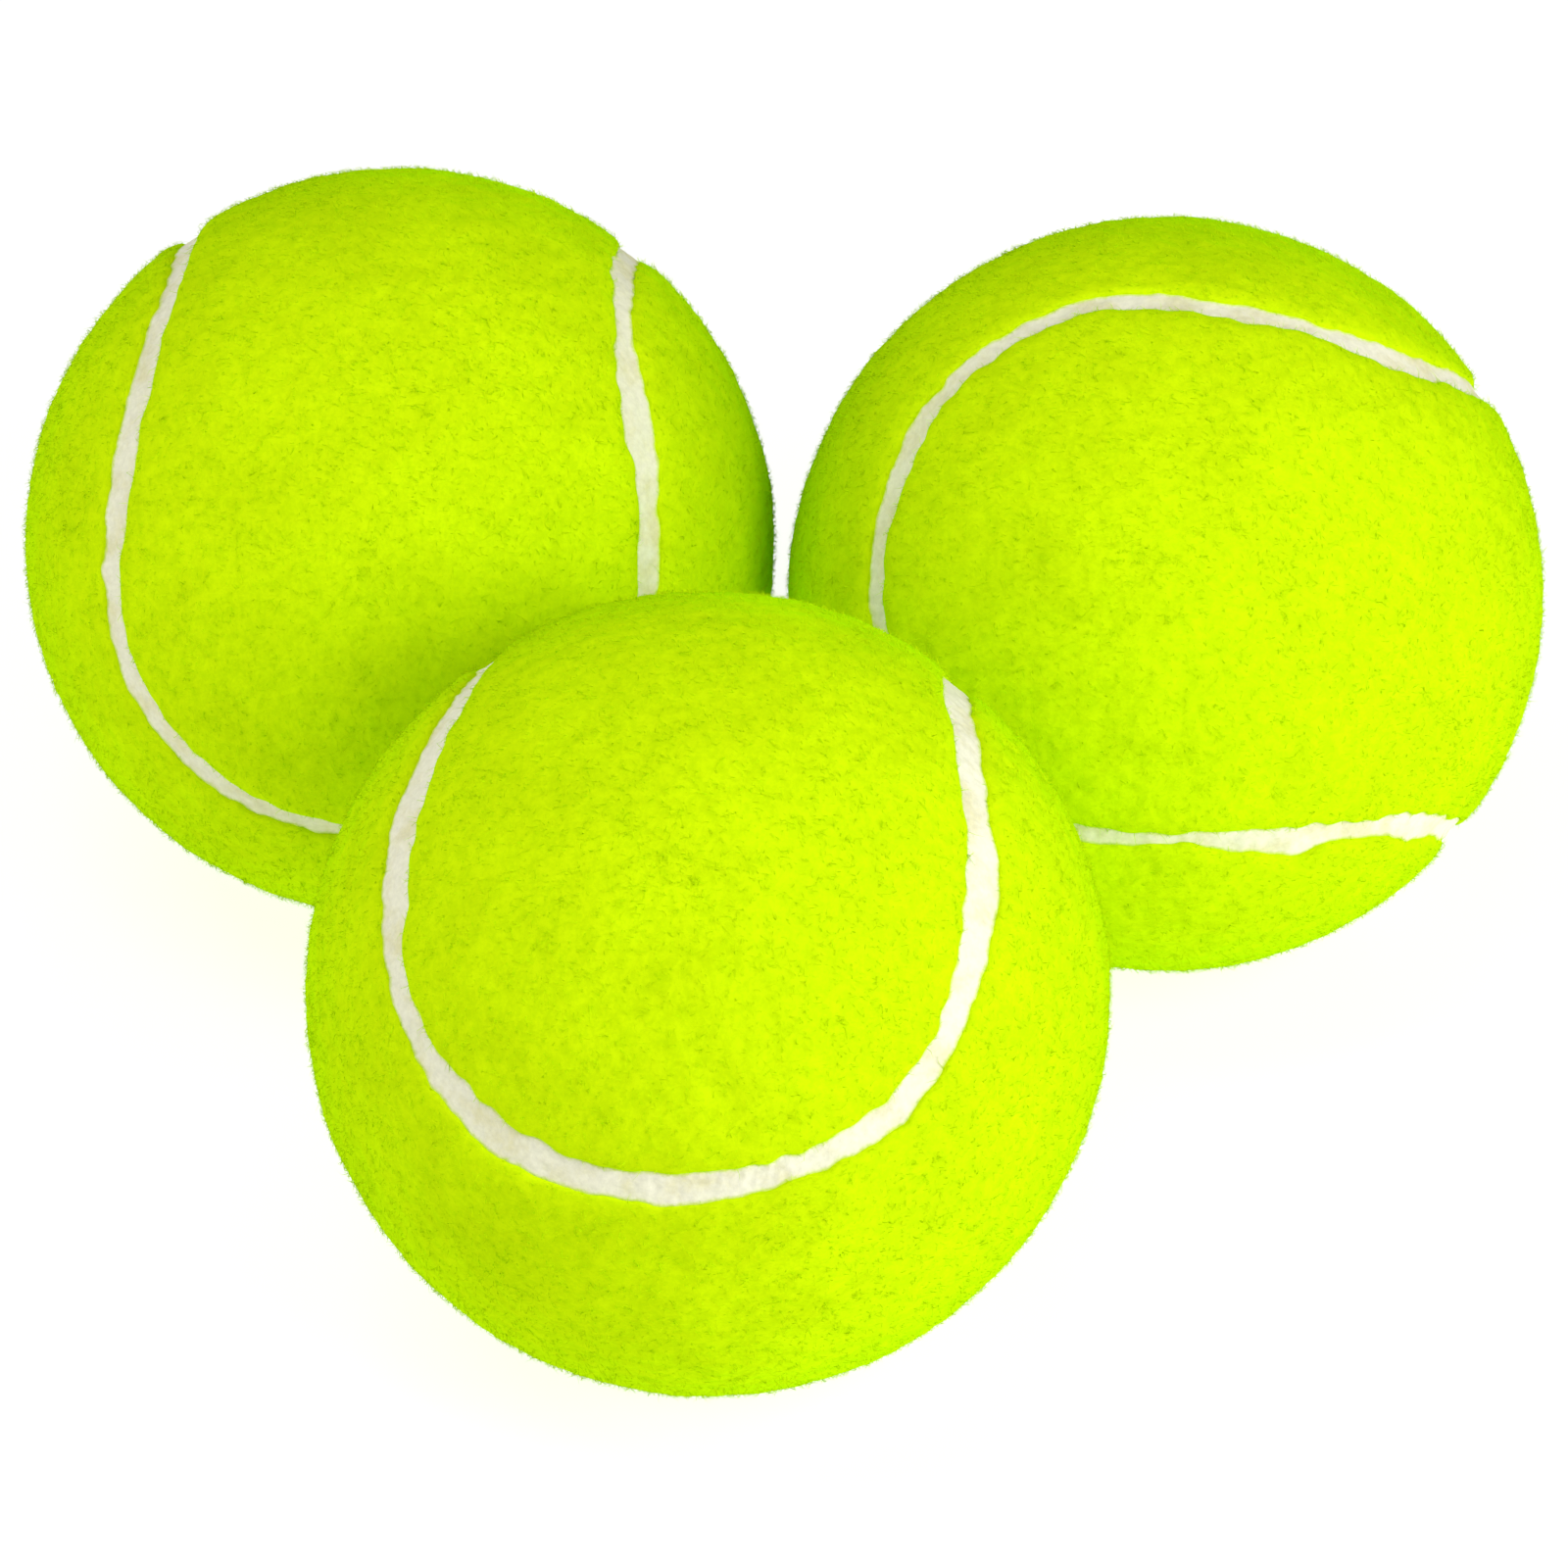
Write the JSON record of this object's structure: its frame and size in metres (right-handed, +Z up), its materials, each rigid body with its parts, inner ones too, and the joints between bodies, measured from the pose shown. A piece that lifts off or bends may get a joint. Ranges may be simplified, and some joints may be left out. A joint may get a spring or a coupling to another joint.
{
  "type": "tennis ball set",
  "caption": "Loose felt-covered tennis balls resting against each other on a level surface, each a two-part rubber core under two dog-bone felt panels with a recessed rubber seam.",
  "frame": {"origin": "on the surface that the balls rest on, under the middle of the group's box", "axes": "+Z up, +X along the pair of balls at the back towards the right ball, +Y away from the front ball"},
  "size_m": [0.1351, 0.1252, 0.0665],
  "materials": {
    "felt": "optic yellow wool and nylon needle felt, brushed nap",
    "seam_rubber": "off-white vulcanised seam rubber, matt and slightly grainy",
    "core_rubber": "dark moulded natural rubber, matt",
    "core_cement": "tan cured rubber cement"
  },
  "bodies": {
    "ball_front": {"front_core_half_1": "core_rubber", "front_core_half_2": "core_rubber", "front_core_joint": "core_cement", "front_felt_panel_1": "felt", "front_felt_panel_2": "felt", "front_seam": "seam_rubber"},
    "ball_left": {"left_core_half_1": "core_rubber", "left_core_half_2": "core_rubber", "left_core_joint": "core_cement", "left_felt_panel_1": "felt", "left_felt_panel_2": "felt", "left_seam": "seam_rubber"},
    "ball_right": {"right_core_half_1": "core_rubber", "right_core_half_2": "core_rubber", "right_core_joint": "core_cement", "right_felt_panel_1": "felt", "right_felt_panel_2": "felt", "right_seam": "seam_rubber"}
  },
  "joints": [
    {"name": "left_roll_away", "type": "slide", "parent": "ball_front", "child": "ball_left", "axis": [-0.5037, 0.8638, 0], "range_m": [0, 0.1]},
    {"name": "right_roll_away", "type": "slide", "parent": "ball_front", "child": "ball_right", "axis": [0.5081, 0.8613, 0], "range_m": [0, 0.1]}
  ]
}
